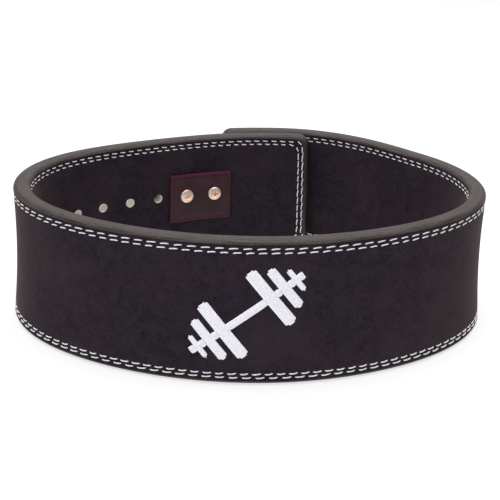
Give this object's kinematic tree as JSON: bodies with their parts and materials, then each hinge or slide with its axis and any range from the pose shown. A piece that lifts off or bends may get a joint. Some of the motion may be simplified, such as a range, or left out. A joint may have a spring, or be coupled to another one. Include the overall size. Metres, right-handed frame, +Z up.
{
  "type": "weightlifting belt",
  "caption": "Wide lever belt of suede-faced leather, fastened in an oval loop on its edge, with double stitching, a screwed patch, punched holes and a raised emblem.",
  "frame": {"origin": "on the surface the belt stands on, under the middle of its outline", "axes": "+Z up, from the lower edge to the upper edge; +X across the loop, to the right seen from the front; -Y towards the front, where the emblem is; the ends lap at +Y"},
  "size_m": [0.3518, 0.2772, 0.1],
  "materials": {
    "burnished_leather": "satin, burnished edge",
    "black_suede": "matt, brushed nap",
    "oxblood_leather": "smooth, semi-matt",
    "copper_plate": "polished copper plate",
    "black_steel": "satin black coating",
    "white_thread": "satin stitch thread"
  },
  "bodies": {
    "root": {"strap_core": "burnished_leather", "suede_facing": "black_suede", "suede_lining": "black_suede", "backing_patch": "oxblood_leather", "screw_right": "copper_plate", "screw_left": "copper_plate", "lever_buckle": "black_steel", "embroidery": "white_thread"}
  },
  "joints": []
}
